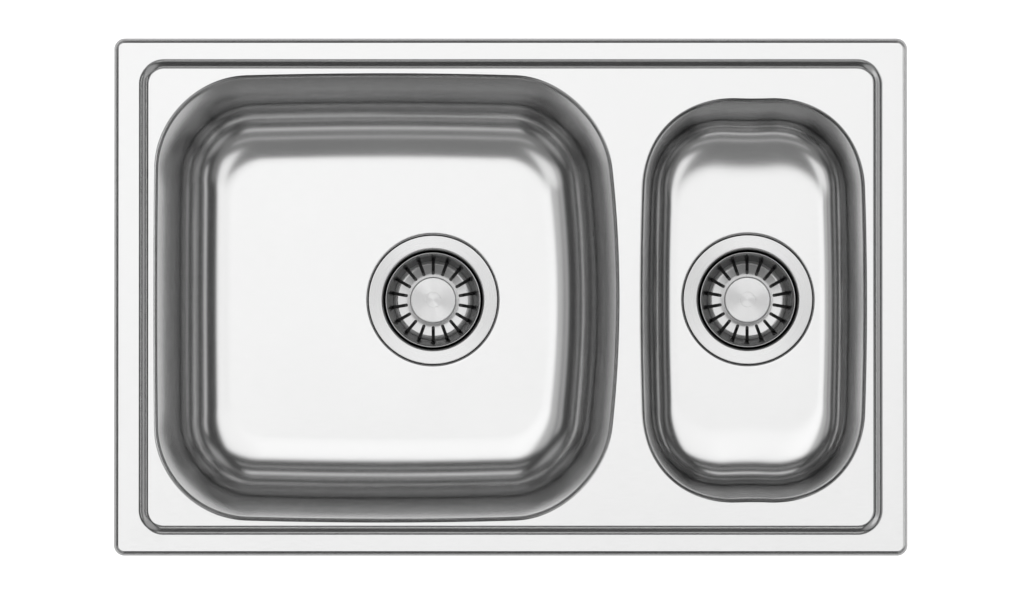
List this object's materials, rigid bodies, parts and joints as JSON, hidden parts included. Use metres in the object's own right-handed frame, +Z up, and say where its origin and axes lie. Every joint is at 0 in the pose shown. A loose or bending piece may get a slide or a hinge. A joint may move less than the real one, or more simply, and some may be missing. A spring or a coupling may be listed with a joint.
{
  "type": "one and a half bowl sink",
  "caption": "Inset stainless steel kitchen sink with a main bowl and a half bowl, basket strainer wastes that lift out, and worktop clamps that swing out and draw up.",
  "frame": {"origin": "middle of the worktop cut-out, level with the worktop's top face", "axes": "+X towards the half bowl, +Y towards the back of the worktop, +Z up"},
  "size_m": [0.668, 0.4356, 0.2537],
  "materials": {
    "sink_steel": "satin pressed sheet",
    "strainer_steel": "polished, with a circular brush on the flange",
    "knob_steel": "fine circular brush",
    "plated_steel": "zinc plated",
    "seal_foam": "closed-cell foam",
    "seal_rubber": "matt rubber",
    "pad_rubber": "matt sound-deadening sheet",
    "waste_plastic": "moulded polypropylene"
  },
  "bodies": {
    "sink": {"deck": "sink_steel", "main_bowl": "sink_steel", "half_bowl": "sink_steel", "rim_seal": "seal_foam", "main_sound_pad": "pad_rubber", "half_sound_pads": "pad_rubber", "clamp_brackets": "plated_steel", "main_strainer_cup": "strainer_steel", "main_flange_seal": "seal_rubber", "main_waste_gasket": "seal_rubber", "main_waste_body": "waste_plastic", "main_clamping_screw": "strainer_steel", "half_strainer_cup": "strainer_steel", "half_flange_seal": "seal_rubber", "half_waste_gasket": "seal_rubber", "half_waste_body": "waste_plastic", "half_clamping_screw": "strainer_steel"},
    "main_stopper": {"main_stopper": "seal_rubber"},
    "main_strainer": {"main_basket": "strainer_steel", "main_knob": "knob_steel", "main_post": "strainer_steel", "main_retaining_washer": "strainer_steel", "main_catch_ring": "strainer_steel"},
    "half_stopper": {"half_stopper": "seal_rubber"},
    "half_strainer": {"half_basket": "strainer_steel", "half_knob": "knob_steel", "half_post": "strainer_steel", "half_retaining_washer": "strainer_steel", "half_catch_ring": "strainer_steel"},
    "clamp_screw_1": {"clamp_screw_1": "plated_steel"},
    "clamp_claw_1": {"clamp_claw_1": "plated_steel"},
    "clamp_screw_2": {"clamp_screw_2": "plated_steel"},
    "clamp_claw_2": {"clamp_claw_2": "plated_steel"},
    "clamp_screw_3": {"clamp_screw_3": "plated_steel"},
    "clamp_claw_3": {"clamp_claw_3": "plated_steel"},
    "clamp_screw_4": {"clamp_screw_4": "plated_steel"},
    "clamp_claw_4": {"clamp_claw_4": "plated_steel"},
    "clamp_screw_5": {"clamp_screw_5": "plated_steel"},
    "clamp_claw_5": {"clamp_claw_5": "plated_steel"},
    "clamp_screw_6": {"clamp_screw_6": "plated_steel"},
    "clamp_claw_6": {"clamp_claw_6": "plated_steel"},
    "clamp_screw_7": {"clamp_screw_7": "plated_steel"},
    "clamp_claw_7": {"clamp_claw_7": "plated_steel"},
    "clamp_screw_8": {"clamp_screw_8": "plated_steel"},
    "clamp_claw_8": {"clamp_claw_8": "plated_steel"}
  },
  "joints": [
    {"name": "main_strainer_lift", "type": "slide", "parent": "sink", "child": "main_stopper", "axis": [0, 0, 1], "range_m": [0, 0.212]},
    {"name": "main_strainer_turn", "type": "hinge", "parent": "main_stopper", "child": "main_strainer", "pos_m": [-0.06715, 0, -0.1854], "axis": [0, 0, 1], "continuous": true},
    {"name": "half_strainer_lift", "type": "slide", "parent": "sink", "child": "half_stopper", "axis": [0, 0, 1], "range_m": [0, 0.197]},
    {"name": "half_strainer_turn", "type": "hinge", "parent": "half_stopper", "child": "half_strainer", "pos_m": [0.20435, 0, -0.1704], "axis": [0, 0, 1], "continuous": true},
    {"name": "clamp_1_turn", "type": "hinge", "parent": "sink", "child": "clamp_screw_1", "pos_m": [-0.215, 0.19745, -0.036], "axis": [0, 0, 1], "range_deg": [0, 90]},
    {"name": "clamp_1_draw", "type": "slide", "parent": "clamp_screw_1", "child": "clamp_claw_1", "axis": [0, 0, 1], "range_m": [0, 0.026]},
    {"name": "clamp_2_turn", "type": "hinge", "parent": "sink", "child": "clamp_screw_2", "pos_m": [0, 0.19745, -0.036], "axis": [0, 0, 1], "range_deg": [0, 90]},
    {"name": "clamp_2_draw", "type": "slide", "parent": "clamp_screw_2", "child": "clamp_claw_2", "axis": [0, 0, 1], "range_m": [0, 0.026]},
    {"name": "clamp_3_turn", "type": "hinge", "parent": "sink", "child": "clamp_screw_3", "pos_m": [0.215, 0.19745, -0.036], "axis": [0, 0, 1], "range_deg": [0, 90]},
    {"name": "clamp_3_draw", "type": "slide", "parent": "clamp_screw_3", "child": "clamp_claw_3", "axis": [0, 0, 1], "range_m": [0, 0.026]},
    {"name": "clamp_4_turn", "type": "hinge", "parent": "sink", "child": "clamp_screw_4", "pos_m": [-0.215, -0.19745, -0.036], "axis": [0, 0, 1], "range_deg": [0, 90]},
    {"name": "clamp_4_draw", "type": "slide", "parent": "clamp_screw_4", "child": "clamp_claw_4", "axis": [0, 0, 1], "range_m": [0, 0.026]},
    {"name": "clamp_5_turn", "type": "hinge", "parent": "sink", "child": "clamp_screw_5", "pos_m": [0, -0.19745, -0.036], "axis": [0, 0, 1], "range_deg": [0, 90]},
    {"name": "clamp_5_draw", "type": "slide", "parent": "clamp_screw_5", "child": "clamp_claw_5", "axis": [0, 0, 1], "range_m": [0, 0.026]},
    {"name": "clamp_6_turn", "type": "hinge", "parent": "sink", "child": "clamp_screw_6", "pos_m": [0.215, -0.19745, -0.036], "axis": [0, 0, 1], "range_deg": [0, 90]},
    {"name": "clamp_6_draw", "type": "slide", "parent": "clamp_screw_6", "child": "clamp_claw_6", "axis": [0, 0, 1], "range_m": [0, 0.026]},
    {"name": "clamp_7_turn", "type": "hinge", "parent": "sink", "child": "clamp_screw_7", "pos_m": [-0.3104, 0, -0.036], "axis": [0, 0, 1], "range_deg": [0, 90]},
    {"name": "clamp_7_draw", "type": "slide", "parent": "clamp_screw_7", "child": "clamp_claw_7", "axis": [0, 0, 1], "range_m": [0, 0.026]},
    {"name": "clamp_8_turn", "type": "hinge", "parent": "sink", "child": "clamp_screw_8", "pos_m": [0.3104, 0, -0.036], "axis": [0, 0, 1], "range_deg": [0, 90]},
    {"name": "clamp_8_draw", "type": "slide", "parent": "clamp_screw_8", "child": "clamp_claw_8", "axis": [0, 0, 1], "range_m": [0, 0.026]}
  ]
}
